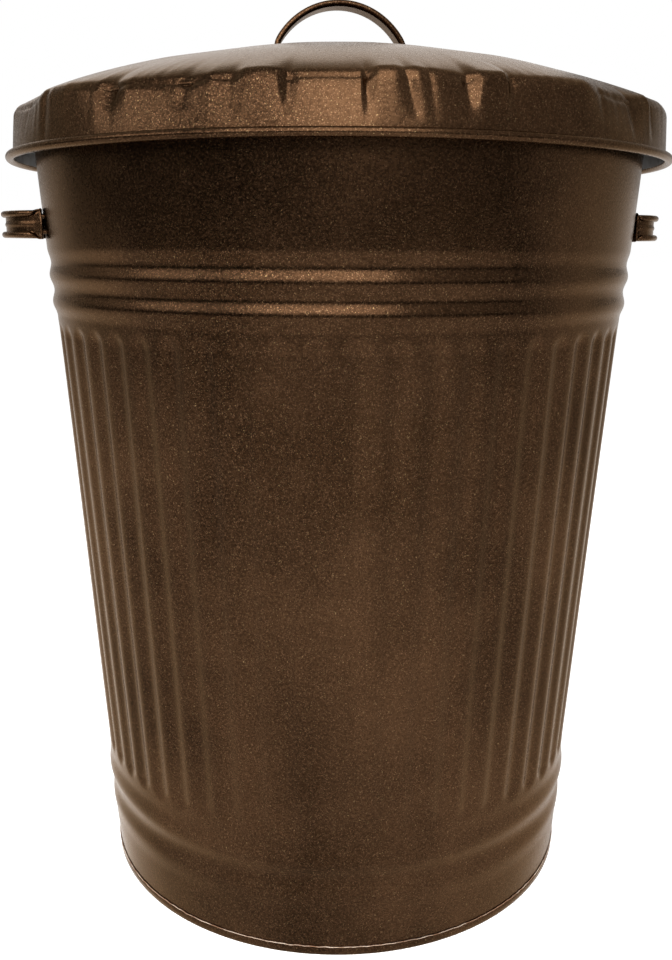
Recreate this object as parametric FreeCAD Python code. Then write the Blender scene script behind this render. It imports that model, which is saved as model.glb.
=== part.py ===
"""Round tapered steel dustbin with a loose domed lid.

The wall is one rolled sheet with vertical flutes pressed into it, two raised
hoops above the flutes and two below, and a lapped seam down the back. A raised
base plate is folded round the foot of the wall. The rims of the wall and of the
lid are curled round wires. Three stamped strap handles are riveted on.

Frame: millimetres, +Z up, origin on the floor at the centre of the base.
The two side handles stand on the X axis and the seam is at the back, on +Y.
Azimuths are degrees from the front (-Y) towards +X.
"""
import FreeCAD, Part
import math
import os

V = FreeCAD.Vector
UP = V(0, 0, 1)

# ---------------------------------------------------------------- driving dimensions
sheet = 0.8                  # gauge of the wall, base and lid, measured level
fit_gap = 0.1                # gap between pieces folded or riveted together
wire_gap = 0.3               # gap between a rim's wire and the sheet curled round it
seat_gap = 0.3               # gap between the resting lid and the wall's rim

base_radius = 192.2          # outside of the wall at the floor
wall_taper = 3.747           # lean of the wall from upright, degrees
body_height = 595.4          # floor to the top of the wall's curled rim
body_wire_radius = 2.1

hoop_crest = 0.4             # how far a hoop stands out of the wall's straight line
hoop_valley = 1.2            # how far the fluted band and the valleys lie inside it
upper_hoop_height = 481.4    # floor to the crest of the topmost hoop
upper_hoop_pitch = 19.6
lower_hoop_height = 77.0     # floor to the crest of the upper one of the low hoops
lower_hoop_pitch = 28.0

flute_count = 56
flute_width = 15.5
flute_depth = 2.5
flute_bottom = 99.0
flute_top = 446.0

seam_width = 8.0
seam_height = 0.9
seam_margin = 3.0            # seam stops this far short of the hem and of the rim

base_recess = 14.0           # floor to the upper face of the base plate
hem_height = 7.5             # outer fold of the base plate, up the wall
base_corner = 4.0            # inside bend between the base plate and its flange
base_rib_radius = 140.0      # stiffening ring pressed up into the base plate
base_rib_width = 16.0
base_rib_height = 2.5

dome_radius = 665.0          # spherical top of the lid, outside
skirt_radius = 244.8         # outside of the lid's skirt at its foot
skirt_height = 28.0          # rim curl centre to the start of the shoulder
skirt_draft = 1.2            # how much narrower the skirt is at the shoulder
shoulder_radius = 9.0
lid_wire_radius = 1.9

strap_width = 19.5           # strap handle across its rolled edges
strap_gauge = 1.2
lip_diameter = 4.6           # rolled edge of the strap
strap_rib_width = 3.2
strap_rib_height = 0.7
handle_half_span = 52.0      # middle of the handle to the outside of a leg
handle_corner = 29.0         # outside radius where a leg turns into the grip
side_handle_rise = 38.0      # foot plane to the outside of the grip
lid_handle_rise = 41.0
side_handle_height = 518.0   # floor to the middle of the side handles
side_foot_tilt = 7.0         # a side handle's feet bend back towards the wall
foot_length = 14.5           # foot plate beyond the outside of the leg
foot_width = 21.5
foot_corner = 4.0

rivet_spacing = 11.0         # the two rivets of one foot, along the strap's width
rivet_inset = 7.5            # rivet to the end of the foot
rivet_shank_radius = 1.6
rivet_head_radius = 3.1
rivet_head_height = 1.6
rivet_tail_radius = 2.7
rivet_tail_height = 1.1
rivet_tail_gap = 0.5         # room for the curved sheet under a flat rivet tail

dent_tilt = 45.0             # the crumples press in and down at this angle
# Crumples in the lid's shoulder: azimuth, depth, radius of the hollow.
shoulder_dents = [
    (-70.0, 4.5, 70.0), (-56.0, 3.5, 40.0), (-39.5, 4.0, 55.0), (-27.5, 5.0, 45.0),
    (-19.0, 2.5, 40.0), (-8.5, 3.5, 90.0), (11.0, 3.5, 45.0), (21.0, 2.5, 70.0),
    (40.0, 5.5, 60.0), (51.0, 2.5, 35.0), (74.0, 3.5, 70.0), (90.0, 4.5, 45.0),
    (109.0, 3.0, 80.0), (126.0, 5.0, 50.0), (143.0, 3.0, 40.0), (160.0, 4.0, 75.0),
    (178.0, 3.0, 45.0), (196.0, 5.0, 60.0), (213.0, 3.0, 40.0), (230.0, 4.5, 70.0),
    (248.0, 3.0, 45.0), (266.0, 4.0, 60.0),
]


# ---------------------------------------------------------------- geometry helpers
def point(r, z):
    """A point of a profile, radius r at height z."""
    return V(r, 0, z)


def line(start, end):
    return Part.LineSegment(start, end).toShape()


def arc(start, middle, end):
    return Part.Arc(start, middle, end).toShape()


def on_circle(centre_r, centre_z, radius, angle):
    """Profile point on a circle, the angle in degrees from outwards, turning upwards."""
    a = math.radians(angle)
    return point(centre_r + radius * math.cos(a), centre_z + radius * math.sin(a))


def circle_arc(centre_r, centre_z, radius, first, last):
    angles = (first, (first + last) / 2, last)
    return arc(*[on_circle(centre_r, centre_z, radius, a) for a in angles])


def revolved(edges, degrees=360.0):
    """Solid swept round Z by the closed profile made of these edges."""
    face = Part.Face(Part.Wire(Part.__sortEdges__(edges)))
    return face.revolve(V(0, 0, 0), UP, degrees)


def write(name, shape):
    shape = shape.removeSplitter() if shape.ShapeType == "Compound" else shape
    assert shape.isValid(), name
    assert len(shape.Solids) == 1, (name, len(shape.Solids))
    solid = shape.Solids[0]
    solid.exportStep("parts/" + name + ".step")
    print("%-28s volume %12.1f  faces %d" % (name, solid.Volume, len(solid.Faces)))


# ---------------------------------------------------------------- wall profile
taper = math.tan(math.radians(wall_taper))
wall_foot = sheet + fit_gap                          # the wall stands in the hem
body_curl = body_wire_radius + wire_gap + sheet      # outside radius of the curl
rim_centre_z = body_height - body_curl


def wall_r(z):
    """Outside radius of the wall's straight line at height z."""
    return base_radius + z * taper


rim_centre_r = wall_r(rim_centre_z) - sheet + body_curl


def hoop_wave():
    """(height, offset) where the wall turns, from the lowest hoop up."""
    low = lower_hoop_pitch / 2
    high = upper_hoop_pitch / 2
    lower = [(lower_hoop_height + k * low, offset) for k, offset in (
        (-3, 0.0), (-2, hoop_crest), (-1, -hoop_valley), (0, hoop_crest), (1, -hoop_valley))]
    upper = [(upper_hoop_height + k * high, offset) for k, offset in (
        (-3, -hoop_valley), (-2, hoop_crest), (-1, -hoop_valley), (0, hoop_crest),
        (1, -hoop_valley), (2, 0.0))]
    return lower, upper


def wall_edges(shift, bottom, top):
    """Profile edges of the wall, moved out by shift, between two heights."""
    def on_wall(z, offset):
        return point(wall_r(z) + offset + shift, z)

    lower, upper = hoop_wave()
    edges = [line(on_wall(bottom, 0), on_wall(*lower[0]))]
    for wave in (lower, upper):
        for (z0, o0), (z1, o1) in zip(wave, wave[1:]):
            rise, step = z1 - z0, o1 - o0
            middle = on_wall(z0 + rise / 2, o0 + step / 2)
            edges.append(arc(on_wall(z0, o0), on_wall(z0 + rise / 4, o0 + step / 8), middle))
            edges.append(arc(middle, on_wall(z1 - rise / 4, o1 - step / 8), on_wall(z1, o1)))
    edges.append(line(on_wall(*lower[-1]), on_wall(*upper[0])))
    edges.append(line(on_wall(*upper[-1]), on_wall(top, 0)))
    return edges


def plug(edges, shift, bottom, top, degrees=360.0):
    """Solid between the axis and a wall profile that starts and ends at this shift."""
    foot = point(wall_r(bottom) + shift, bottom)
    head = point(wall_r(top) + shift, top)
    ends = [line(point(0, bottom), foot), line(head, point(0, top)),
            line(point(0, top), point(0, bottom))]
    return revolved(edges + ends, degrees)


def outer_plug():
    """Everything inside the wall's outer face, with the lapped seam up the back."""
    bottom, top = wall_foot, rim_centre_z
    low = hem_height + seam_margin
    high = rim_centre_z - body_curl - seam_margin
    lap = wall_edges(seam_height, low, high)
    for z, end in ((low, bottom), (high, top)):
        lap.append(line(point(wall_r(z), z), point(wall_r(z) + seam_height, z)))
        lap.append(line(point(wall_r(z), z), point(wall_r(end), end)))
    spread = math.degrees(seam_width / wall_r(body_height / 2))
    seam = plug(lap, 0, bottom, top, spread)
    rest = plug(wall_edges(0, bottom, top), 0, bottom, top, 360 - spread)
    seam.rotate(V(0, 0, 0), UP, 90 - spread / 2)
    rest.rotate(V(0, 0, 0), UP, 90 + spread / 2)
    return seam, rest


def flute_cutters(grow):
    """Round-ended bars that press the flutes, their radius larger by grow."""
    half = flute_width / 2
    bar = (half ** 2 + flute_depth ** 2) / (2 * flute_depth)
    radius = bar + grow
    low = flute_bottom + half
    length = (flute_top - half - low) / math.cos(math.radians(wall_taper))
    slant = 1 / math.sqrt(2)
    capsule = revolved([
        arc(V(0, 0, -radius), V(radius * slant, 0, -radius * slant), V(radius, 0, 0)),
        line(V(radius, 0, 0), V(radius, 0, length)),
        arc(V(radius, 0, length), V(radius * slant, 0, length + radius * slant),
            V(0, 0, length + radius)),
        line(V(0, 0, length + radius), V(0, 0, -radius)),
    ])
    capsule.rotate(V(0, 0, 0), V(0, 1, 0), wall_taper)
    capsule.translate(V(wall_r(low) - hoop_valley + bar - flute_depth, 0, low))
    cutters = []
    for k in range(flute_count):
        copy = capsule.copy()
        copy.rotate(V(0, 0, 0), UP, 90 + (k + 0.5) * 360 / flute_count)
        cutters.append(copy)
    return cutters


def curl(centre_r, centre_z, outer, first, last):
    """Sheet curled round a wire: a ring section from one angle to another."""
    inner = outer - sheet
    return revolved([
        circle_arc(centre_r, centre_z, outer, first, last),
        circle_arc(centre_r, centre_z, inner, first, last),
        line(on_circle(centre_r, centre_z, inner, first), on_circle(centre_r, centre_z, outer, first)),
        line(on_circle(centre_r, centre_z, inner, last), on_circle(centre_r, centre_z, outer, last)),
    ])


def wire_ring(centre_r, centre_z, radius):
    return Part.makeTorus(centre_r, radius, V(0, 0, centre_z), UP)


# ---------------------------------------------------------------- lid profile
lid_curl = lid_wire_radius + wire_gap + sheet
shoulder_centre_r = skirt_radius - skirt_draft - shoulder_radius
shoulder_lift = math.sqrt((dome_radius - shoulder_radius) ** 2 - shoulder_centre_r ** 2)


def resting_heights():
    """Height of the dome's centre at which each part of the lid's inside meets the rim."""
    reach = dome_radius - sheet - body_curl - seat_gap
    yield rim_centre_z - math.sqrt(reach ** 2 - rim_centre_r ** 2)
    for _, depth, ball in shoulder_dents:
        centre = dent_centre(depth, ball)
        reach = ball + sheet + body_curl + seat_gap
        lift = math.sqrt(reach ** 2 - (shoulder_centre_r + centre.x - rim_centre_r) ** 2)
        yield rim_centre_z + lift - centre.z - shoulder_lift


def dent_centre(depth, ball):
    """Centre of a crumple's ball, from the centre of the shoulder's bend."""
    return on_circle(0, 0, shoulder_radius + ball - depth, dent_tilt)


# The lid comes down until its dome or its deepest crumple meets the wall's rim.
dome_centre_z = max(resting_heights())
shoulder_centre_z = dome_centre_z + shoulder_lift
shoulder_angle = math.degrees(math.atan2(shoulder_centre_z - dome_centre_z, shoulder_centre_r))
lid_rim_z = shoulder_centre_z - skirt_height
lid_rim_r = skirt_radius - sheet + lid_curl


def lid_plug(inset, foot):
    """Solid under the lid's outside surface moved in by inset."""
    dome = dome_radius - inset
    shoulder = shoulder_radius - inset
    apex = point(0, dome_centre_z + dome)
    meeting = on_circle(0, dome_centre_z, dome, shoulder_angle)
    half_way = on_circle(0, dome_centre_z, dome, (90 + shoulder_angle) / 2)
    skirt_top = on_circle(shoulder_centre_r, shoulder_centre_z, shoulder, 0)
    skirt_foot = point(skirt_radius - inset, foot)
    return revolved([
        arc(apex, half_way, meeting),
        circle_arc(shoulder_centre_r, shoulder_centre_z, shoulder, shoulder_angle, 0),
        line(skirt_top, skirt_foot),
        line(skirt_foot, point(0, foot)),
        line(point(0, foot), apex),
    ])


def dent_balls(grow):
    """Balls that press the crumples into the shoulder, their radius larger by grow."""
    balls = []
    for azimuth, depth, ball in shoulder_dents:
        solid = Part.makeSphere(ball + grow)
        solid.translate(point(shoulder_centre_r, shoulder_centre_z) + dent_centre(depth, ball))
        solid.rotate(V(0, 0, 0), UP, azimuth - 90)
        balls.append(solid)
    return balls


# ---------------------------------------------------------------- strap handles
lip = lip_diameter / 2
leg_inside = handle_half_span - lip_diameter


def arch_path(rise, inset):
    """Points of a three-centred arch in the XZ plane, its crown at height rise."""
    corner = handle_corner - inset
    half = handle_half_span - inset
    top = ((half - corner) ** 2 + rise ** 2 - corner ** 2) / (2 * (rise - corner))
    turn = math.degrees(math.atan2(top - rise, half - corner))
    return corner, half - corner, top, rise - top, turn


def strap_section(x):
    """Closed outline of the strap at a leg standing at x, in the plane z = 0."""
    edge = strap_width / 2 - lip
    web = x + strap_gauge
    middle = x + lip
    cut = edge - math.sqrt(lip ** 2 - (lip - strap_gauge) ** 2)
    rib = strap_rib_width / 2
    edges = [line(V(x, -edge, 0), V(x, edge, 0))]
    for side in (1, -1):
        edges.append(arc(V(x, side * edge, 0), V(middle, side * (edge + lip), 0),
                         V(x + lip_diameter, side * edge, 0)))
        edges.append(arc(V(x + lip_diameter, side * edge, 0),
                         V(middle, side * (edge - lip), 0), V(web, side * cut, 0)))
        edges.append(line(V(web, side * cut, 0), V(web, side * rib, 0)))
    edges.append(arc(V(web, rib, 0), V(web + strap_rib_height, 0, 0), V(web, -rib, 0)))
    return Part.Wire(Part.__sortEdges__(edges))


def strap_arch(rise):
    """The bowed strap, standing on z = 0 with its crown's outside at height rise."""
    corner, corner_x, top, top_z, turn = arch_path(rise - lip_diameter, lip_diameter)
    right = circle_arc(corner_x, 0, corner, 0, turn)
    crown = circle_arc(0, top_z, top, turn, 180 - turn)
    left = circle_arc(-corner_x, 0, corner, 180 - turn, 180)
    path = Part.Wire([right, crown, left])
    maker = Part.BRepOffsetAPI.MakePipeShell(path)
    maker.add(strap_section(leg_inside))
    maker.build()
    maker.makeSolid()
    return maker.shape()


def foot_plate(tilt):
    """Flat foot on the +X leg, its under face at z = 0 where the leg's inside meets it."""
    reach = handle_half_span + foot_length - leg_inside
    plate = Part.makeBox(reach, foot_width, strap_gauge, V(0, -foot_width / 2, 0))
    corners = [edge for edge in plate.Edges
               if abs(edge.Length - strap_gauge) < 1e-6 and edge.CenterOfMass.x > reach / 2]
    plate = plate.makeFillet(foot_corner, corners)
    plate.rotate(V(0, 0, 0), V(0, 1, 0), tilt)
    plate.translate(V(leg_inside, 0, 0))
    return plate


def rivet_frames(tilt):
    """Where the four rivets of a handle enter its feet: point on the foot, outward axis."""
    reach = handle_half_span + foot_length - leg_inside - rivet_inset
    a = math.radians(tilt)
    axis = V(math.sin(a), 0, math.cos(a))
    along = V(math.cos(a), 0, -math.sin(a))
    frames = []
    for side in (1, -1):
        for row in (1, -1):
            at = V(leg_inside, row * rivet_spacing / 2, 0) + along * reach + axis * strap_gauge
            frames.append((V(side * at.x, at.y, at.z), V(side * axis.x, 0, axis.z)))
    return frames


def shank_hole(at, axis, depth):
    start = at + axis * rivet_head_height
    return Part.makeCylinder(rivet_shank_radius + fit_gap, depth + rivet_head_height, start, -axis)


def make_handle(rise, tilt):
    handle = strap_arch(rise)
    right = foot_plate(tilt)
    left = right.mirror(V(0, 0, 0), V(1, 0, 0))
    handle = handle.fuse([right, left])
    for at, axis in rivet_frames(tilt):
        handle = handle.cut(shank_hole(at, axis, 2 * strap_gauge))
    return handle


def make_rivet(at, axis, grip):
    """Domed head on the foot, shank through it, and a flat tail at depth grip."""
    ball = (rivet_head_radius ** 2 + rivet_head_height ** 2) / (2 * rivet_head_height)
    head = Part.makeSphere(ball, at + axis * (rivet_head_height - ball))
    keep = Part.makeCylinder(rivet_head_radius * 1.5, rivet_head_height * 2, at, axis)
    head = head.common(keep)
    shank = Part.makeCylinder(rivet_shank_radius, grip + rivet_tail_height / 2, at, -axis)
    tail = Part.makeCylinder(rivet_tail_radius, rivet_tail_height, at - axis * grip, -axis)
    rounded = [edge for edge in tail.Edges
               if edge.Closed and (edge.CenterOfMass - at).dot(-axis) > grip + rivet_tail_height / 2]
    tail = tail.makeFillet(rivet_tail_height * 0.6, rounded)
    return head.fuse([shank, tail])


def grip_depth(at, axis, inside):
    """Depth below the foot at which the rivet's axis leaves the sheet."""
    near, far = 0.0, 20 * sheet
    for _ in range(40):
        half_way = (near + far) / 2
        if inside(at - axis * half_way):
            far = half_way
        else:
            near = half_way
    return far + rivet_tail_gap


def stand(base, turn, shape):
    """Turn a handle from its own frame (X along the feet, Z outwards) on to the bin."""
    placed = shape.copy()
    placed.Placement = FreeCAD.Placement(base, turn).multiply(placed.Placement)
    return placed


# ---------------------------------------------------------------- where the handles stand
foot_top_z = side_handle_height + foot_width / 2
side_foot_plane = math.sqrt(wall_r(foot_top_z) ** 2 - leg_inside ** 2) + fit_gap
lid_foot_plane = dome_centre_z + math.sqrt(dome_radius ** 2 - leg_inside ** 2) + fit_gap
lid_foot_tilt = math.degrees(math.asin(handle_half_span / dome_radius))


def side_turn(side):
    """Rotation that lays the handle level with its crown towards side * X."""
    return FreeCAD.Rotation(V(0, side, 0), UP, V(side, 0, 0), "ZXY")


def inside_wall(p):
    return math.hypot(p.x, p.y) < wall_r(p.z) - sheet


def inside_dome(p):
    return (p - V(0, 0, dome_centre_z)).Length < dome_radius - sheet


places = {
    "left_side_handle": (V(-side_foot_plane, 0, side_handle_height), side_turn(-1),
                         side_handle_rise, side_foot_tilt, inside_wall),
    "right_side_handle": (V(side_foot_plane, 0, side_handle_height), side_turn(1),
                          side_handle_rise, side_foot_tilt, inside_wall),
    "lid_handle": (V(0, 0, lid_foot_plane), FreeCAD.Rotation(),
                   lid_handle_rise, lid_foot_tilt, inside_dome),
}


def rivet_places(handle):
    """World point, world axis and grip of each rivet of a handle."""
    base, turn, _, tilt, inside = places[handle]
    result = []
    for at, axis in rivet_frames(tilt):
        world_at = base + turn.multVec(at)
        world_axis = turn.multVec(axis)
        result.append((world_at, world_axis, grip_depth(world_at, world_axis, inside)))
    return result


def rivet_holes(handles):
    return [shank_hole(at, axis, grip + rivet_tail_height)
            for handle in handles for at, axis, grip in rivet_places(handle)]


# ---------------------------------------------------------------- pieces
def make_body_shell():
    seam, rest = outer_plug()
    rim = curl(rim_centre_r, rim_centre_z, body_curl, 180, -130)
    outside = rest.fuse([seam, rim]).removeSplitter().cut(flute_cutters(0))
    low = wall_foot - sheet
    inside = plug(wall_edges(-sheet, low, rim_centre_z), -sheet, low, rim_centre_z)
    gauge_square_to_wall = sheet * math.cos(math.radians(wall_taper))
    wall = outside.cut(inside.cut(flute_cutters(gauge_square_to_wall)))
    return wall.cut(rivet_holes(["left_side_handle", "right_side_handle"]))


def make_base_plate():
    """Raised bottom disc, its flange turned out under the wall and up as a hem."""
    inner_face = -sheet - fit_gap
    flange = inner_face - sheet
    top_z = base_recess
    low_z = base_recess - sheet
    half = base_rib_width / 2
    corner_r = wall_r(top_z) + inner_face - base_corner
    under_r = corner_r - sheet

    def rib_edges(z):
        inner, crest, outer = base_rib_radius - half, base_rib_radius, base_rib_radius + half
        return arc(point(inner, z), point(crest, z + base_rib_height), point(outer, z)), inner, outer

    top_rib, rib_in, rib_out = rib_edges(top_z)
    low_rib, _, _ = rib_edges(low_z)
    wall_low = wall_foot - fit_gap
    return revolved([
        line(point(0, top_z), point(rib_in, top_z)), top_rib,
        line(point(rib_out, top_z), point(corner_r, top_z)),
        line(point(corner_r, top_z), point(wall_r(low_z) + inner_face, low_z)),
        line(point(wall_r(low_z) + inner_face, low_z), point(wall_r(wall_low) + inner_face, wall_low)),
        line(point(wall_r(wall_low) + inner_face, wall_low), point(wall_r(wall_low) + fit_gap, wall_low)),
        line(point(wall_r(wall_low) + fit_gap, wall_low), point(wall_r(hem_height) + fit_gap, hem_height)),
        line(point(wall_r(hem_height) + fit_gap, hem_height),
             point(wall_r(hem_height) + fit_gap + sheet, hem_height)),
        line(point(wall_r(hem_height) + fit_gap + sheet, hem_height),
             point(wall_r(0) + fit_gap + sheet, 0)),
        line(point(wall_r(0) + fit_gap + sheet, 0), point(wall_r(0) + flange, 0)),
        line(point(wall_r(0) + flange, 0), point(wall_r(low_z - sheet) + flange, low_z - sheet)),
        line(point(wall_r(low_z - sheet) + flange, low_z - sheet), point(under_r, low_z)),
        line(point(under_r, low_z), point(rib_out, low_z)), low_rib,
        line(point(rib_in, low_z), point(0, low_z)),
        line(point(0, low_z), point(0, top_z)),
    ])


def make_lid_shell():
    rim = curl(lid_rim_r, lid_rim_z, lid_curl, 180, 490)
    outside = lid_plug(0, lid_rim_z).fuse(rim).cut(dent_balls(0))
    inside = lid_plug(sheet, lid_rim_z).cut(dent_balls(sheet))
    return outside.cut(inside).cut(rivet_holes(["lid_handle"]))


def main():
    os.makedirs("parts", exist_ok=True)
    write("body_shell", make_body_shell())
    write("body_rim_wire", wire_ring(rim_centre_r, rim_centre_z, body_wire_radius))
    write("base_plate", make_base_plate())
    write("lid_shell", make_lid_shell())
    write("lid_rim_wire", wire_ring(lid_rim_r, lid_rim_z, lid_wire_radius))
    for name, (base, turn, rise, tilt, _) in places.items():
        write(name, stand(base, turn, make_handle(rise, tilt)))
        for number, (at, axis, grip) in enumerate(rivet_places(name), 1):
            write("%s_rivet_%d" % (name, number), make_rivet(at, axis, grip))


main()
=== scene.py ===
"""Looks of a round tapered steel bin with a loose, crumpled, domed lid.

The wall, base, lid and strap handles are built here as dense meshes that follow the solids they
stand for. Rivets and rim wires are the solids themselves with a better finish.
Lengths are in millimetres until a mesh is made, and in metres for the floor, lights and camera.
Azimuths run from +X towards +Y, in radians, except where a comment gives degrees.
"""

import math

import bpy
import numpy as np
from mathutils import Matrix, Vector


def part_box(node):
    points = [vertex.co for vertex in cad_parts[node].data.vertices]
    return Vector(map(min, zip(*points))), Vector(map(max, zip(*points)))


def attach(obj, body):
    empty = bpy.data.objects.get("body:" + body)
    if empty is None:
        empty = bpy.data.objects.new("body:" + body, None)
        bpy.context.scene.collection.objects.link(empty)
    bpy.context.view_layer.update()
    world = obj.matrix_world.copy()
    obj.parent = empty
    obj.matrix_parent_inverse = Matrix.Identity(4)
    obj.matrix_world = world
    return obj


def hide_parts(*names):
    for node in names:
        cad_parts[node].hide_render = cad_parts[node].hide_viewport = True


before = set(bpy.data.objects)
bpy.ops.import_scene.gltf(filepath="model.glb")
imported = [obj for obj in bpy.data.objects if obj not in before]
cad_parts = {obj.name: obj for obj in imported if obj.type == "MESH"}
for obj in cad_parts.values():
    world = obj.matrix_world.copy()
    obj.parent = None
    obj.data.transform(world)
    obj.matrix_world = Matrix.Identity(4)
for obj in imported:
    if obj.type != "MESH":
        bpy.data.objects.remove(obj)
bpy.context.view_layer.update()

MM = 0.001


def node_box(name):
    """Lowest and highest corner of a CAD node, in millimetres."""
    low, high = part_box(name)
    return np.array(low) / MM, np.array(high) / MM


# ---------------------------------------------------------------- sizes
# They follow the solids', except that the hoops stand 0.3 prouder, the valleys lie 0.3 deeper,
# and the flutes are 0.3 shallower and have softer edges.
SHEET = 0.8
BASE_RADIUS = 192.2
TAPER = math.tan(math.radians(3.747))
HOOP_CREST = 0.7
HOOP_VALLEY = 1.5
UPPER_HOOP, UPPER_PITCH = 481.4, 19.6
LOWER_HOOP, LOWER_PITCH = 77.0, 28.0
FLUTES = 56
FLUTE_WIDTH, FLUTE_DEPTH = 15.5, 2.2
FLUTE_BOTTOM, FLUTE_TOP = 99.0, 446.0
FLUTE_REACH, PITCH_SHARE = 10.8, 0.49     # a soft flute's half width, and its most in pitches
CURL = 3.2
CURL_START, CURL_TURN = 180, 310          # degrees: where a curl leaves the sheet, and its turn
SEAM_WIDTH, SEAM_HEIGHT, SEAM_MARGIN = 8.0, 0.9, 3.0
SEAM_SIDE, SEAM_END = 1.2, 2              # how wide the seam's ramps are
HEM_HEIGHT = 7.5
BASE_RECESS = 14.0

WALL_FOOT = node_box("body_shell")[0][2]
BODY_TOP = node_box("body_shell")[1][2]
RIM_Z = BODY_TOP - CURL

DOME_RADIUS = 665.0
SKIRT_RADIUS, SKIRT_HEIGHT, SKIRT_DRAFT = 244.8, 28.0, 1.2
SHOULDER_RADIUS = 9.0
LID_CURL = 3.0
LID_RIM_Z = sum(corner[2] for corner in node_box("lid_rim_wire")) / 2
LID_RIM_R = SKIRT_RADIUS - SHEET + LID_CURL
SHOULDER_R = SKIRT_RADIUS - SKIRT_DRAFT - SHOULDER_RADIUS
SHOULDER_Z = LID_RIM_Z + SKIRT_HEIGHT
DOME_Z = SHOULDER_Z - math.sqrt((DOME_RADIUS - SHOULDER_RADIUS) ** 2 - SHOULDER_R ** 2)
DOME_EDGE = math.atan2(SHOULDER_R, SHOULDER_Z - DOME_Z)     # from the axis, at the shoulder


# ---------------------------------------------------------------- mesh helpers
PAINTED, BARE, CUT_EDGE = 0, 1, 2         # a mesh's materials, by number


def link(obj):
    bpy.context.scene.collection.objects.link(obj)
    return obj


def smooth_steps(stops):
    """Heights from a list of (height, step) stops: each stretch is cut into equal steps."""
    heights = []
    for (start, step), (end, _) in zip(stops, stops[1:]):
        count = max(1, round(abs(end - start) / step))
        heights += list(np.linspace(start, end, count, endpoint=False))
    return np.array(heights + [stops[-1][0]])


def make_object(name, points, faces, materials, indices=None, sharp=40):
    mesh = bpy.data.meshes.new(name)
    mesh.from_pydata((np.asarray(points) * MM).tolist(), [], faces)
    for material in materials:
        mesh.materials.append(material)
    if indices is not None:
        mesh.polygons.foreach_set("material_index", indices)
    mesh.polygons.foreach_set("use_smooth", [True] * len(mesh.polygons))
    mesh.update()
    mesh.validate()
    mesh.set_sharp_from_angle(angle=math.radians(sharp))
    return link(bpy.data.objects.new(name, mesh))


def ring_faces(rows, columns, close_rows=True):
    """Quads of a grid that closes round its columns, and round its rows too if asked."""
    faces = []
    for i in range(rows if close_rows else rows - 1):
        a, b = i * columns, ((i + 1) % rows) * columns
        faces += [(a + j, a + (j + 1) % columns, b + (j + 1) % columns, b + j)
                  for j in range(columns)]
    return faces


def close_on_axis(points, columns, heights):
    """Faces of a grid whose first and last rows end in fans to points on the axis.

    Gives the points with those two added, and the faces, turned to look out of the sheet.
    """
    rows = len(points) // columns
    faces = ring_faces(rows, columns, close_rows=False)
    for row, height in zip((0, rows - 1), heights):
        points = np.concatenate([points, [[0, 0, height]]])
        hub = len(points) - 1
        ring = [row * columns + j for j in range(columns)]
        if row:
            ring = ring[::-1]
        faces += [(hub, b, a) for a, b in zip(ring, ring[1:] + ring[:1])]
    return points, [face[::-1] for face in faces]


def turned(radius, height, angle):
    """Points of a grid of radii and heights (rows by columns) at these azimuths."""
    x = radius * np.cos(angle)
    y = radius * np.sin(angle)
    return np.stack([x, y, height + np.zeros_like(x)], axis=-1).reshape(-1, 3)


def waves(angle, height, seed, count, around, upward, size):
    """Gentle seeded unevenness: a sum of sine waves round and up the surface."""
    rng = np.random.default_rng(seed)
    total = np.zeros(np.broadcast(angle, height).shape)
    for _ in range(count):
        turns = rng.integers(around[0], around[1])
        rise = rng.uniform(-upward, upward)
        phase = rng.uniform(0, 2 * math.pi)
        total += np.sin(turns * angle + rise * height + phase)
    return size * total / math.sqrt(count)


# ---------------------------------------------------------------- the wall
WALL_WAVES = {"seed": 7, "count": 9, "around": (2, 13), "upward": 0.012, "size": 0.28}
EVEN_FOOT, EVEN_RIM, EVEN_FADE = 12, 6, 20
COLUMNS_PER_FLUTE = 14


def wall_line(z):
    """Radius of the wall's straight line."""
    return BASE_RADIUS + TAPER * z


def hoop_offset(z):
    """The wall's distance outside its straight line, from the hoops and valleys."""
    low, high = LOWER_PITCH / 2, UPPER_PITCH / 2
    turns = [(LOWER_HOOP + k * low, o) for k, o in (
        (-3, 0), (-2, HOOP_CREST), (-1, -HOOP_VALLEY), (0, HOOP_CREST), (1, -HOOP_VALLEY))]
    turns += [(UPPER_HOOP + k * high, o) for k, o in (
        (-3, -HOOP_VALLEY), (-2, HOOP_CREST), (-1, -HOOP_VALLEY), (0, HOOP_CREST),
        (1, -HOOP_VALLEY), (2, 0))]
    offset = np.where(z > turns[-1][0], turns[-1][1], turns[0][1] + 0.0 * z)
    for (z0, o0), (z1, o1) in zip(turns, turns[1:]):
        t = np.clip((z - z0) / (z1 - z0), 0, 1)
        inside = (z > z0) & (z <= z1)
        offset = np.where(inside, o0 + (o1 - o0) * (1 - np.cos(math.pi * t)) / 2, offset)
    return offset


def flute_inset(angle, z):
    """How far the round-ended flutes press the wall in, their edges drawn out soft."""
    half = FLUTE_WIDTH / 2
    pitch = 2 * math.pi / FLUTES
    from_centre = ((angle - math.pi / 2) / pitch) % 1 - 0.5
    reach = np.minimum(FLUTE_REACH, PITCH_SHARE * pitch * wall_line(z))
    across = from_centre * pitch * wall_line(z)
    beyond = np.maximum(0, np.maximum(FLUTE_BOTTOM + half - z, z - (FLUTE_TOP - half)))
    away = np.minimum(1, np.sqrt(across ** 2 + beyond ** 2) / reach)
    return FLUTE_DEPTH * (1 + np.cos(math.pi * away)) / 2


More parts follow.
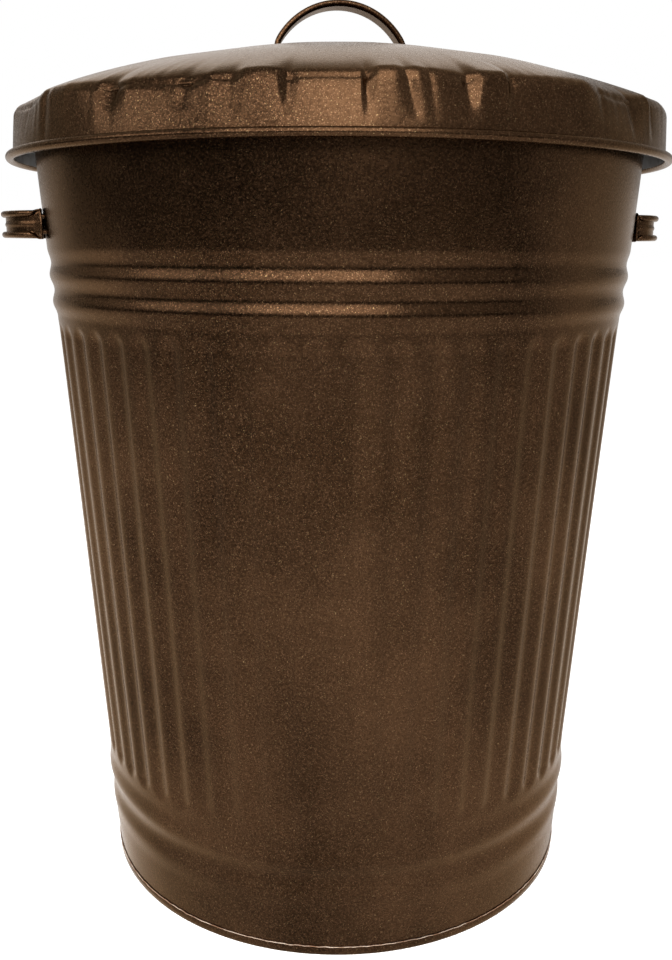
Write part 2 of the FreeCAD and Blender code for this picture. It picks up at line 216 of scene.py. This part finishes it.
def seam_lap(angle, z):
    """The lapped seam standing up the back of the wall."""
    across = np.abs(angle - math.pi / 2) * wall_line(z)
    side = np.clip((SEAM_WIDTH / 2 + SEAM_SIDE / 2 - across) / SEAM_SIDE, 0, 1)
    low = np.clip((z - HEM_HEIGHT - SEAM_MARGIN) / SEAM_END, 0, 1)
    high = np.clip((RIM_Z - CURL - SEAM_MARGIN - z) / SEAM_END, 0, 1)
    ramp = side * low * high
    return SEAM_HEIGHT * ramp * ramp * (3 - 2 * ramp)


def wall_outside(angle, z):
    """Outside radius of the wall, without its seam."""
    ends = np.clip(np.minimum(z - EVEN_FOOT, RIM_Z - EVEN_RIM - z) / EVEN_FADE, 0, 1)
    uneven = waves(angle, z, **WALL_WAVES) * ends
    return wall_line(z) + hoop_offset(z) - flute_inset(angle, z) + uneven


def circle_points(r, z, radius, first, last, count):
    """Points of an arc from the first to the last of these degrees, round (r, z)."""
    a = np.radians(np.linspace(first, last, count))
    return [(r + radius * math.cos(t), z + radius * math.sin(t)) for t in a]


def make_wall(paint, bare):
    """The rolled sheet, outside and inside, and the curl round the rim wire."""
    columns = FLUTES * COLUMNS_PER_FLUTE
    angle = (np.arange(columns) + 0.5) * 2 * math.pi / columns
    up = smooth_steps([(WALL_FOOT, 6), (30, 2), (92, 1.3), (112, 11), (434, 1.3), (512, 4),
                       (524, 8), (RIM_Z, 1)])
    down = up[::-1]
    z_up = up[:, None]
    z_down = down[:, None]
    outside = wall_outside(angle[None, :], z_up)
    inside = wall_outside(angle[None, :], z_down) - SHEET
    lapped = outside + seam_lap(angle[None, :], z_up)
    centre_r = wall_line(RIM_Z) - SHEET + CURL
    curl_end = CURL_START - CURL_TURN
    inner = circle_points(centre_r, RIM_Z, CURL - SHEET, CURL_START, curl_end, 16)[1:]
    outer = circle_points(centre_r, RIM_Z, CURL, curl_end, CURL_START, 22)[:-1]
    grids = [(lapped, z_up)]
    for profile in (inner, outer):
        r, z = np.array(profile).T
        grids.append((r[:, None] + 0 * angle[None, :], z[:, None]))
    grids.append((inside, z_down))
    points = np.concatenate([turned(r, z, angle[None, :]) for r, z in grids])
    rows = len(points) // columns
    bare_from = len(up) + len(inner) + len(outer)
    indices = np.repeat(np.where(np.arange(rows) >= bare_from, BARE, PAINTED), columns)
    return make_object("bin_wall", points, ring_faces(rows, columns), [paint, bare], indices)


# ---------------------------------------------------------------- the base
def make_base(paint, bare, edge):
    """The base disc, its flange and the hem folded up outside the wall."""
    columns = 720
    angle = np.arange(columns) * 2 * math.pi / columns
    gap = 0.1
    inner_face, flange = -SHEET - gap, -2 * SHEET - gap
    rib_in, rib_out, rib_rise = 132.0, 148.0, 2.5
    rings, disc_edge = (20.0, 70.0), 165.0
    corner = 4.0
    bend = corner * 0.9

    def rib(z):
        t = np.linspace(0, 1, 9)
        return [(rib_in + (rib_out - rib_in) * s, z + rib_rise * math.sin(math.pi * s) ** 2)
                for s in t]

    top, low = BASE_RECESS, BASE_RECESS - SHEET
    inside = [(ring, top) for ring in rings] + rib(top) + [(disc_edge, top)]
    inside += circle_points(wall_line(top) + inner_face - corner, top - bend, bend, 90, 10, 6)
    inside += [(wall_line(4) + inner_face, 4.0), (wall_line(1) + inner_face, 1.2),
               (wall_line(0.9) + inner_face + 0.4, 0.85), (wall_line(0.9), 0.82)]
    hem = [(wall_line(3) + gap, 3.0), (wall_line(HEM_HEIGHT) + gap, HEM_HEIGHT - 0.15),
           (wall_line(HEM_HEIGHT) + gap + 0.25, HEM_HEIGHT),
           (wall_line(HEM_HEIGHT) + gap + SHEET - 0.2, HEM_HEIGHT - 0.02),
           (wall_line(HEM_HEIGHT) + gap + SHEET, HEM_HEIGHT - 0.35),
           (wall_line(4) + gap + SHEET, 4.0), (wall_line(1) + gap + SHEET, 1.2),
           (wall_line(0) + gap + SHEET - 0.4, 0.35), (wall_line(0), 0.0)]
    under = [(wall_line(0) + flange + 0.4, 0.0), (wall_line(0) + flange, 0.6),
             (wall_line(low) + flange, low - corner)]
    under += circle_points(wall_line(top) + inner_face - corner - SHEET, low - bend, bend,
                           10, 90, 6)
    under += [(disc_edge, low)] + rib(low)[::-1] + [(ring, low) for ring in rings[::-1]]
    profile = np.array(inside + hem + under)
    r = profile[:, 0][:, None] + 0 * angle[None, :]
    z = profile[:, 1][:, None] + 0 * angle[None, :]
    # The hem's cut edge is ragged, by 0.3 at most upwards.
    ragged = np.minimum(waves(angle, 0 * angle, 3, 12, (20, 160), 0, 0.22), 0.3)
    for row in range(len(inside) + 1, len(inside) + 5):
        z[row] += ragged
    points, faces = close_on_axis(turned(r, z, angle[None, :]), columns, (top, low))
    kinds = np.full(len(profile) - 1, PAINTED)
    kinds[:len(inside)] = BARE
    kinds[len(inside) + 1:len(inside) + 4] = CUT_EDGE
    indices = list(np.repeat(kinds, columns)) + [BARE] * columns + [PAINTED] * columns
    return make_object("bin_base", points, faces, [paint, bare, edge], indices)


# ---------------------------------------------------------------- the lid
# The shoulder as it shows from the front: degrees from the front (-Y) towards +X, and how
# far the crumple would press the shoulder in. DEEPEST bounds what it does.
FRONT_SHOULDER = [
    (-78, 1.5), (-71.8, 6.2), (-65.8, 9.5), (-57.5, 1.0), (-50, 0.6), (-43, 3.0), (-40.5, 7.5),
    (-38, 4.5), (-36.9, 4.2), (-32.6, 5.8), (-27.8, 9.0), (-24.1, 3.8), (-20.9, 5.8),
    (-19.2, 1.5), (-16.8, 0.8), (-14.4, 2.0), (-13.3, 5.2), (-11.2, 4.6), (-4.1, 4.6),
    (-3.5, 2.2), (-3.0, 5.5), (-1.4, 0.5), (0.2, 0.0), (3.8, 0.0), (6.6, 1.5), (10.4, 4.2),
    (11.1, 5.2), (12.5, 1.2), (16.6, 0.2), (17.4, 3.8), (24, 1.0), (31.1, 0.0), (34.6, 3.2),
    (39.9, 9.5), (43.9, 8.0), (49.2, 0.5), (50.8, 2.8), (58, 0.5), (65.9, 0.3), (74, 3.0),
]
# Folds pressed into the skirt: degrees from the front, depth, width, share of the skirt's
# height that they reach down, and degrees that they lean by on the way.
SKIRT_FOLDS = [
    (-56.2, 2.0, 4.0, 0.95, 0.2), (-40.5, 2.2, 7.0, 0.45, 0.0), (-27.8, 1.8, 7.5, 0.55, 0.6),
    (-13.3, 3.2, 4.2, 0.70, 0.4), (-3.0, 2.6, 3.4, 0.75, 0.8), (2.3, 2.8, 4.0, 0.80, 1.8),
    (5.2, 1.2, 3.5, 0.80, 1.2), (10.8, 2.4, 5.0, 0.55, 0.3), (17.4, 1.4, 5.0, 0.50, 0.3),
    (34.6, 1.5, 6.0, 0.60, 0.4), (43.9, 2.0, 5.0, 0.80, 0.3), (50.8, 1.3, 3.5, 0.80, 0.2),
]
DEEPEST, PRESS_GAIN = 8.2, 1.25
PRESS_LENGTH = SKIRT_HEIGHT + 6           # how far down from the shoulder it is pressed in
SHARP_FADE, BROAD_FADE = 9, 55            # how far the crumples run up the dome
BROAD_COLUMNS, BROAD_SHARE = 31, 0.35
FOLD_FADE, FINE_FADE = 14, 25
DOME_RINGS = (1.5, 4, 7, 10)              # degrees from the axis
RING_FAR, RING_NEAR = 70, 24              # from the shoulder, where the dome's rings close up


def around_back(rng):
    """Crumples like the front's for the rest of the shoulder: degrees and drop."""
    places = []
    at = 82.0
    while at < 276:
        places.append((at, rng.uniform(0, 1.5)))
        places.append((at + rng.uniform(1.5, 5), rng.uniform(3, 9)))
        at += rng.uniform(7, 14)
    return places


def shoulder_drop(degrees):
    """Drop of the shoulder at these degrees from the front, its corners barely softened."""
    places = sorted(FRONT_SHOULDER + around_back(np.random.default_rng(21)))
    at, drop = np.array(places).T
    fine = np.linspace(-180, 180, 3600, endpoint=False)
    line = np.interp((fine + 90) % 360 - 90, at, drop, period=360)
    kernel = np.hanning(13)
    kernel /= kernel.sum()
    half = len(kernel) // 2
    line = np.convolve(np.concatenate([line[-half:], line, line[:half]]), kernel, "valid")
    return np.interp(degrees, fine, line, period=360)


def fold_lines():
    """The front's folds, and folds like them round the back, as SKIRT_FOLDS has them."""
    rng = np.random.default_rng(5)
    folds = list(SKIRT_FOLDS)
    at = 80.0
    while at < 278:
        folds.append((at, rng.uniform(0.8, 2.2), rng.uniform(1.8, 4), rng.uniform(0.4, 0.9),
                      rng.uniform(-0.8, 0.8)))
        at += rng.uniform(8, 20)
    return folds


def lid_stations():
    """The lid's round profile from the dome to the foot of the skirt.

    Rows of radius, height, outward normal (r, z) and distance from the shoulder's middle,
    which is positive over the dome and negative down the skirt.
    """
    rows = []
    inner = np.radians(DOME_RINGS)
    near = DOME_EDGE - np.concatenate([
        np.linspace(RING_FAR, RING_NEAR, 12, endpoint=False),
        np.linspace(RING_NEAR, 0, 14, endpoint=False)]) / DOME_RADIUS
    arc_length = (math.pi / 2 - DOME_EDGE) * SHOULDER_RADIUS
    for a in np.concatenate([inner, near]):
        normal = (math.sin(a), math.cos(a))
        rows.append((DOME_RADIUS * normal[0], DOME_Z + DOME_RADIUS * normal[1], *normal,
                     (DOME_EDGE - a) * DOME_RADIUS + arc_length / 2))
    for t in np.linspace(0, 1, 9):
        a = DOME_EDGE + t * (math.pi / 2 - DOME_EDGE)
        normal = (math.sin(a), math.cos(a))
        rows.append((SHOULDER_R + SHOULDER_RADIUS * normal[0],
                     SHOULDER_Z + SHOULDER_RADIUS * normal[1], *normal, (0.5 - t) * arc_length))
    for t in np.linspace(0, 1, 16)[1:]:
        rows.append((SKIRT_RADIUS - SKIRT_DRAFT * (1 - t), SHOULDER_Z - t * SKIRT_HEIGHT, 1.0,
                     SKIRT_DRAFT / SKIRT_HEIGHT, -arc_length / 2 - t * SKIRT_HEIGHT))
    return np.array(rows)


def crumple(stations, degrees, angle):
    """How far each point of the lid is pressed in, at 45 degrees and along its normal."""
    along = stations[:, 4][:, None]
    down = np.clip(-along / PRESS_LENGTH, 0, 1)
    drop = DEEPEST * np.tanh(shoulder_drop(degrees) * PRESS_GAIN / DEEPEST)[None, :]
    box = np.ones(BROAD_COLUMNS) / BROAD_COLUMNS
    broad = np.convolve(np.tile(drop[0], 3), box, "same")[len(degrees):-len(degrees)]
    dome_side = np.exp(-np.maximum(along, 0) / SHARP_FADE)
    skirt_side = (1 - down) ** 1.4
    press = np.where(along > 0, drop * dome_side, drop * skirt_side)
    spread = np.where(along > 0, (np.exp(-along / BROAD_FADE) - dome_side), 0)
    press += spread * broad[None, :] * BROAD_SHARE
    folds = np.zeros_like(press)
    for at, depth, width, reach, lean in fold_lines():
        centre = at + lean * down
        across = ((degrees[None, :] - centre + 180) % 360 - 180) * math.radians(SKIRT_RADIUS)
        fade = np.clip(1 - down / reach, 0, 1) ** 0.7 * np.exp(-np.maximum(along, 0) / FOLD_FADE)
        folds += depth * fade / (1 + (across / width) ** 2) ** 1.5
    fine = waves(angle, 0, 13, 14, (50, 190), 0, 0.12)
    folds += fine * (1 - down) * np.exp(-np.maximum(along, 0) / FINE_FADE)
    return press, folds


def make_lid(paint, bare):
    """The crumpled dome and skirt, outside and inside, and the curl round the lid's wire."""
    columns = 1260
    angle = np.arange(columns) * 2 * math.pi / columns
    degrees = (np.degrees(angle) + 90 + 180) % 360 - 180
    stations = lid_stations()
    press, folds = crumple(stations, degrees, angle[None, :])
    r0, z0, nr, nz = (stations[:, k][:, None] for k in range(4))
    slant = math.sqrt(0.5)
    r = r0 - press * slant - folds * nr
    z = z0 - press * slant - folds * nz * 0.6
    inner_r, inner_z = (r - SHEET * nr)[::-1], (z - SHEET * nz)[::-1]
    rim, curl_end = (LID_RIM_R, LID_RIM_Z), CURL_START + CURL_TURN
    inside_curl = np.array(circle_points(*rim, LID_CURL - SHEET, CURL_START, curl_end, 20)[1:])
    outside_curl = np.array(circle_points(*rim, LID_CURL, curl_end, CURL_START, 28)[:-1])
    grids = [(r, z)]
    for curl in (inside_curl, outside_curl):
        grids.append((curl[:, 0][:, None] + 0 * angle[None, :], curl[:, 1][:, None]))
    grids.append((inner_r, inner_z))
    points = np.concatenate([turned(a, b, angle[None, :]) for a, b in grids])
    rows = len(points) // columns
    bare_from = len(stations) + len(inside_curl) + len(outside_curl)
    indices = list(np.repeat(np.where(np.arange(rows - 1) >= bare_from, BARE, PAINTED), columns))
    indices += [PAINTED] * columns + [BARE] * columns
    apex = DOME_Z + DOME_RADIUS
    points, faces = close_on_axis(points, columns, (apex, apex - SHEET))
    return make_object("lid_skin", points, faces, [paint, bare], indices)


# ---------------------------------------------------------------- strap handles
STRAP_WIDTH, GAUGE = 19.5, 1.2
LIP = 2.3
RIB_WIDTH, RIB_HEIGHT = 3.2, 0.7
HALF_SPAN, HANDLE_CORNER = 52.0, 29.0
FOOT_LENGTH, FOOT_WIDTH, FOOT_CORNER = 14.5, 21.5, 4.0
FOOT_BEND = 2.6
ROLL_IN = 0.30                            # radians of the corner over which the edges roll up
FINE_TO, COARSE_FROM = 0.42, 0.5          # radians, where the corner's stations spread out
FOOT_GAP = 0.1                            # between a foot and the sheet it lies on
PAST_FOOT = -1.0
LEG = HALF_SPAN - 2 * LIP


def strap_path(rise, tilt):
    """Stations of half a strap from the foot's end to the crown.

    Rows of x, z of the strap's inner face, the direction of travel in radians, how much of
    the rolled edge there is, and how far along the foot it is, or PAST_FOOT.
    """
    lean = math.radians(tilt)
    reach = HALF_SPAN + FOOT_LENGTH - LEG
    setback = FOOT_BEND * math.tan((math.pi / 2 - lean) / 2)
    flat_way = math.pi - lean
    rows = []
    for t in np.concatenate([np.linspace(0, FOOT_CORNER, 7), np.linspace(6, reach - setback, 5)]):
        d = reach - t
        rows.append((LEG + d * math.cos(lean), -d * math.sin(lean), flat_way, 0.0, t))
    hub_x = rows[-1][0] + FOOT_BEND * math.sin(flat_way)
    hub_z = rows[-1][1] - FOOT_BEND * math.cos(flat_way)
    for way in np.linspace(flat_way, math.pi / 2, 8)[1:-1]:
        rows.append((hub_x - FOOT_BEND * math.sin(way), hub_z + FOOT_BEND * math.cos(way),
                     way, 0.0, PAST_FOOT))
    corner = HANDLE_CORNER - 2 * LIP
    height = rise - 2 * LIP
    top = ((LEG - corner) ** 2 + height ** 2 - corner ** 2) / (2 * (height - corner))
    turn_at = math.atan2(top - height, LEG - corner)
    start = math.asin(setback / corner)
    for a in np.concatenate([np.linspace(start, FINE_TO, 9),
                             np.linspace(COARSE_FROM, turn_at, 9)]):
        roll = min(1.0, (a - start) / ROLL_IN)
        rows.append((LEG - corner + corner * math.cos(a), corner * math.sin(a),
                     math.pi / 2 + a, roll * roll * (3 - 2 * roll), PAST_FOOT))
    for a in np.linspace(turn_at, math.pi / 2, 18)[1:]:
        rows.append((top * math.cos(a), height - top + top * math.sin(a),
                     math.pi / 2 + a, 1.0, PAST_FOOT))
    return rows


def strap_outline(roll, half_width):
    """Closed section: across the strap and outwards, with its edges rolled by this share."""
    lip = GAUGE / 2 + (LIP - GAUGE / 2) * roll
    edge = half_width - lip
    points = []
    for t in np.linspace(-90, 200, 15):
        a = math.radians(t)
        points.append((edge + lip * math.cos(a), lip + lip * math.sin(a)))
    web = []
    for w in np.linspace(0.92, -0.92, 13) * (edge - lip * 0.75):
        crown = RIB_HEIGHT * roll * max(0.0, 1 - (2 * w / RIB_WIDTH) ** 2)
        web.append((w, GAUGE + crown))
    mirrored = [(-w, n) for w, n in points[::-1]]
    under = [(w, 0.0) for w in np.linspace(-0.9, 0.9, 5) * edge]
    return points + web + mirrored + under


def make_strap(name, base, turn, rise, tilt, paint):
    """A strap handle bowed over its own X axis, stood at base and turned on to the bin."""
    half = strap_path(rise, tilt)
    rows = half + [(-x, z, -way, roll, foot) for x, z, way, roll, foot in half[-2::-1]]
    points = []
    for x, z, way, roll, foot in rows:
        width = STRAP_WIDTH / 2 + (FOOT_WIDTH - STRAP_WIDTH) / 2 * (1 - min(1, roll * 2))
        if 0 <= foot < FOOT_CORNER:
            width -= FOOT_CORNER - math.sqrt(FOOT_CORNER ** 2 - (FOOT_CORNER - foot) ** 2)
        normal = (math.sin(way), -math.cos(way))
        for w, n in strap_outline(roll, width):
            points.append(Vector((x + normal[0] * n, w, z + normal[1] * n)))
    count = len(strap_outline(1, 9))
    faces = []
    for i in range(len(rows) - 1):
        a, b = i * count, (i + 1) * count
        faces += [(a + j, b + j, b + (j + 1) % count, a + (j + 1) % count) for j in range(count)]
    faces.append(tuple(range(count)))
    faces.append(tuple(reversed(range((len(rows) - 1) * count, len(rows) * count))))
    placed = [turn @ p + base for p in points]
    return make_object(name, [tuple(p) for p in placed], faces, [paint], sharp=60)


# ---------------------------------------------------------------- materials
class Shader:
    """A node material made from short calls."""

    def __init__(self, name):
        self.material = bpy.data.materials.new(name)
        self.material.use_nodes = True
        self.tree = self.material.node_tree
        self.surface = self.tree.nodes["Principled BSDF"]
        coords = self.tree.nodes.new("ShaderNodeTexCoord")
        self.place = coords.outputs["Object"]

    def node(self, kind, settings=None, **inputs):
        """A node with these settings, and these inputs, an underscore standing for a space."""
        made = self.tree.nodes.new(kind)
        for key, value in (settings or {}).items():
            setattr(made, key, value)
        for key, value in inputs.items():
            self.put(made.inputs[key.replace("_", " ")], value)
        return made

    def put(self, socket, value):
        if isinstance(value, bpy.types.NodeSocket):
            self.tree.links.new(value, socket)
        else:
            socket.default_value = value

    def stretched(self, x, y, z):
        made = self.node("ShaderNodeMapping")
        self.put(made.inputs["Vector"], self.place)
        made.inputs["Scale"].default_value = (x, y, z)
        return made.outputs["Vector"]

    def noise(self, scale, detail=2.0, roughness=0.5, vector=None):
        made = self.node("ShaderNodeTexNoise", Scale=scale, Detail=detail, Roughness=roughness)
        self.put(made.inputs["Vector"], vector or self.place)
        return made.outputs["Fac"]

    def ramp(self, value, low, high, to_low=0.0, to_high=1.0):
        """Value mapped from low..high to to_low..to_high, and held there beyond them."""
        made = self.node("ShaderNodeMapRange", {"clamp": True})
        for key, v in (("Value", value), ("From Min", low), ("From Max", high),
                       ("To Min", to_low), ("To Max", to_high)):
            self.put(made.inputs[key], v)
        return made.outputs["Result"]

    def combine(self, operation, a, b):
        made = self.node("ShaderNodeMath", {"operation": operation})
        self.put(made.inputs[0], a)
        self.put(made.inputs[1], b)
        return made.outputs[0]

    def add(self, a, b):
        return self.combine("ADD", a, b)

    def times(self, a, b):
        return self.combine("MULTIPLY", a, b)

    def mix(self, share, a, b):
        made = self.node("ShaderNodeMix", {"data_type": "RGBA"})
        self.put(made.inputs[0], share)
        for socket, colour in ((made.inputs[6], a), (made.inputs[7], b)):
            self.put(socket, (*colour, 1.0) if isinstance(colour, tuple) else colour)
        return made.outputs[2]

    def bump(self, height, strength, distance):
        made = self.node("ShaderNodeBump", Strength=strength, Distance=distance, Height=height)
        self.put(self.surface.inputs["Normal"], made.outputs["Normal"])

    def set(self, **values):
        """Set the surface's inputs and give the material."""
        for key, value in values.items():
            self.put(self.surface.inputs[key.replace("_", " ")], value)
        return self.material


DEEP_BROWN = (0.0085, 0.0041, 0.0020)
BRONZE = (0.051, 0.0258, 0.0124)
COPPER = (0.20, 0.110, 0.060)
GOLD = (0.33, 0.225, 0.11)
GRAZING_TINT = (0.80, 0.69, 0.60, 1)
DULL_ZINC, PALE_ZINC = (0.30, 0.31, 0.32), (0.56, 0.57, 0.57)
RUBBED_COPPER, RUBBED_BRIGHT = (0.32, 0.18, 0.11), (0.75, 0.6, 0.48)


def hammered_paint():
    """Dark bronze hammered metallic paint: pebbled, cloudy, with copper and gold flecks."""
    s = Shader("hammered_bronze_paint")
    pebble = s.noise(620, 2.0, 0.5)
    cloud = s.noise(7.5, 3.0, 0.55)
    streak = s.noise(16, 2.0, 0.5, s.stretched(1, 1, 0.12))
    fleck = s.noise(1500, 1.0, 0.5)
    tone = s.add(s.ramp(pebble, 0.36, 0.64, 0, 0.34), s.ramp(cloud, 0.38, 0.62, 0, 0.42))
    tone = s.add(tone, s.ramp(streak, 0.35, 0.65, 0, 0.16))
    colour = s.mix(tone, DEEP_BROWN, BRONZE)
    colour = s.mix(s.ramp(fleck, 0.60, 0.72, 0, 0.4), colour, COPPER)
    gold = s.noise(1100, 1.0, 0.5)
    colour = s.mix(s.ramp(gold, 0.70, 0.76, 0, 0.4), colour, GOLD)
    s.bump(pebble, 0.16, 0.0006)
    rough = s.ramp(s.add(s.times(pebble, 0.5), s.times(cloud, 0.5)), 0.35, 0.65, 0.22, 0.31)
    return s.set(Base_Color=colour, Roughness=rough, Metallic=1.0, Specular_Tint=GRAZING_TINT)


def bare_zinc():
    """Galvanized sheet: cool grey with soft spangles."""
    s = Shader("bare_zinc")
    spangle = s.node("ShaderNodeTexVoronoi", Scale=70, Vector=s.place)
    grain = s.noise(260, 3.0)
    shade = s.node("ShaderNodeSeparateColor", Color=spangle.outputs["Color"])
    tone = s.add(s.times(shade.outputs[0], 0.6), s.times(grain, 0.4))
    colour = s.mix(tone, DULL_ZINC, PALE_ZINC)
    s.bump(grain, 0.1, 0.0004)
    return s.set(Base_Color=colour, Roughness=s.ramp(tone, 0, 1, 0.48, 0.32), Metallic=0.9)


def worn_edge():
    """Raw cut edge of the hem, the paint rubbed through to copper-bright metal."""
    s = Shader("worn_edge")
    patch = s.noise(90, 3.0)
    colour = s.mix(s.ramp(patch, 0.4, 0.6), RUBBED_COPPER, RUBBED_BRIGHT)
    return s.set(Base_Color=colour, Roughness=s.ramp(patch, 0, 1, 0.4, 0.25), Metallic=0.9)


# ---------------------------------------------------------------- the pieces in place
paint = hammered_paint()
zinc = bare_zinc()
edge = worn_edge()


def place_piece(piece, body, slot, *nodes):
    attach(piece, body)
    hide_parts(*nodes)


place_piece(make_wall(paint, zinc), "bin", "hammered_paint", "body_shell")
place_piece(make_base(paint, zinc, edge), "bin", "hammered_paint", "base_plate")
place_piece(make_lid(paint, zinc), "lid", "hammered_paint", "lid_shell")

LID_RISE, SIDE_RISE, SIDE_TILT, SIDE_HEIGHT = 41.0, 38.0, 7.0, 518.0
lid_foot_plane = DOME_Z + math.sqrt(DOME_RADIUS ** 2 - LEG ** 2) + FOOT_GAP
lid_tilt = math.degrees(math.asin(HALF_SPAN / DOME_RADIUS))
side_foot_plane = math.sqrt(wall_line(SIDE_HEIGHT + FOOT_WIDTH / 2) ** 2 - LEG ** 2) + FOOT_GAP
lid_handle = make_strap("lid_strap", Vector((0, 0, lid_foot_plane)), Matrix.Identity(3),
                        LID_RISE, lid_tilt, paint)
place_piece(lid_handle, "lid", "hammered_paint", "lid_handle")
for word, side in (("left", -1), ("right", 1)):
    # The strap's own X runs along Y here, and its Z points away from the wall.
    turn = Matrix(((0, 0, side), (side, 0, 0), (0, 1, 0)))
    strap = make_strap(word + "_strap", Vector((side * side_foot_plane, 0, SIDE_HEIGHT)), turn,
                       SIDE_RISE, SIDE_TILT, paint)
    place_piece(strap, "bin", "hammered_paint", word + "_side_handle")

# Rivets and rim wires stay as the solids and only get their finish here.
for name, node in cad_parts.items():
    if "rivet" in name or "wire" in name:
        node.data.materials.clear()
        node.data.materials.append(paint if "rivet" in name else zinc)
        node.data.polygons.foreach_set("use_smooth", [True] * len(node.data.polygons))
        node.data.set_sharp_from_angle(angle=math.radians(35))


# ---------------------------------------------------------------- floor, light and camera
FLOOR_HALF = 30.0
FLOOR_LIFT = 0.6                          # glow of the floor where the background is seen
WORLD_LIGHT, WORLD_SEEN = 0.5, 1.0
LENS, SENSOR = 37.15, 36.0                # in millimetres
CAMERA_PLACE = (-0.0914, -0.8109, 0.5034)
CAMERA_YAW, CAMERA_TIP, CAMERA_ROLL = -0.1107, 0.232, math.radians(0.25)


def bright_rays(tree):
    """1 for the rays that see the white background: camera, glossy and transmission rays."""
    rays = tree.nodes.new("ShaderNodeLightPath")
    seen = rays.outputs["Is Camera Ray"]
    for key in ("Is Glossy Ray", "Is Transmission Ray"):
        either = tree.nodes.new("ShaderNodeMath")
        either.operation = "MAXIMUM"
        tree.links.new(seen, either.inputs[0])
        tree.links.new(rays.outputs[key], either.inputs[1])
        seen = either.outputs[0]
    return seen


def seen_strength(tree, unseen, seen):
    """One value for the rays that see the white background, and another for the rest."""
    strength = tree.nodes.new("ShaderNodeMapRange")
    strength.inputs["To Min"].default_value = unseen
    strength.inputs["To Max"].default_value = seen
    tree.links.new(bright_rays(tree), strength.inputs["Value"])
    return strength.outputs["Result"]


def flat_object(name, points, faces, material):
    """A mesh object whose points are in metres."""
    mesh = bpy.data.meshes.new(name)
    mesh.from_pydata(points, [], faces)
    mesh.materials.append(material)
    return link(bpy.data.objects.new(name, mesh))


def make_floor():
    """A wide pale floor that reads white away from the object's shadow."""
    s = Shader("pale_floor")
    s.set(Base_Color=(0.82, 0.82, 0.82, 1), Roughness=1.0, Specular_IOR_Level=0.0,
          Emission_Color=(1, 1, 1, 1), Emission_Strength=seen_strength(s.tree, 0.0, FLOOR_LIFT))
    square = ((-1, -1), (1, -1), (1, 1), (-1, 1))
    corners = [(x * FLOOR_HALF, y * FLOOR_HALF, 0) for x, y in square]
    floor = flat_object("floor", corners, [(0, 1, 2, 3)], s.material)


def make_card(name, first, last, low, top, radius, shade):
    """A curved matt card round the object, which only what the paint mirrors shows.

    It runs from the first to the last azimuth in degrees, anticlockwise from +X.
    """
    angles = np.radians(np.linspace(first, last, 60))
    points = [(radius * math.cos(a), radius * math.sin(a), z) for a in angles for z in (low, top)]
    faces = [(2 * k, 2 * k + 1, 2 * k + 3, 2 * k + 2) for k in range(len(angles) - 1)]
    matt = Shader(name).set(Base_Color=(shade, shade, shade, 1), Roughness=1.0,
                            Specular_IOR_Level=0.0)
    card = flat_object(name, points, faces, matt)
    card.visible_camera = card.visible_diffuse = card.visible_shadow = False


def soft_box(name, place, target, width, height, power):
    """A rectangular lamp turned to a target, its power in watts."""
    data = bpy.data.lights.new(name, "AREA")
    data.shape = "RECTANGLE"
    data.size, data.size_y, data.energy = width, height, power
    lamp = link(bpy.data.objects.new(name, data))
    lamp.location = place
    lamp.rotation_euler = (Vector(target) - Vector(place)).to_track_quat("-Z", "Y").to_euler()


def light_world():
    """Plain pale surroundings: white where the camera, gloss or glass sees them."""
    world = bpy.data.worlds.new("surroundings")
    bpy.context.scene.world = world
    world.use_nodes = True
    tree = world.node_tree
    background = tree.nodes["Background"]
    strength = seen_strength(tree, WORLD_LIGHT, WORLD_SEEN)
    tree.links.new(strength, background.inputs["Strength"])
    background.inputs["Color"].default_value = (1, 1, 1, 1)


def make_camera():
    """The photograph's viewpoint: 0.82 m from the axis, half a metre up, tipped down."""
    data = bpy.data.cameras.new("camera")
    data.sensor_width, data.lens = SENSOR, LENS
    camera = link(bpy.data.objects.new("camera", data))
    camera.location = CAMERA_PLACE
    aim = Matrix.Rotation(CAMERA_YAW, 4, "Z") @ Matrix.Rotation(math.pi / 2 - CAMERA_TIP, 4, "X")
    camera.rotation_euler = (aim @ Matrix.Rotation(CAMERA_ROLL, 4, "Z")).to_euler()
    bpy.context.scene.camera = camera


make_floor()
light_world()
soft_box("key", (-0.56, -1.89, 1.50), (0, 0, 0.5), 2.4, 1.05, 56)
soft_box("side", (-2.1, -0.75, 1.5), (0, 0, 0.5), 1.4, 1.0, 20)
soft_box("top", (-0.30, -1.1, 2.1), (0, 0, 0.5), 2.0, 0.9, 30)
soft_box("back", (-0.1, 1.6, 1.5), (0, 0, 0.6), 2.0, 0.8, 4.5)
make_card("dark_front", -208, -28, 0.30, 0.74, 2.3, 0.05)
make_card("grey_back", 15, 165, 0.62, 2.30, 2.6, 0.50)
make_camera()
bpy.context.scene.view_settings.view_transform = "Standard"
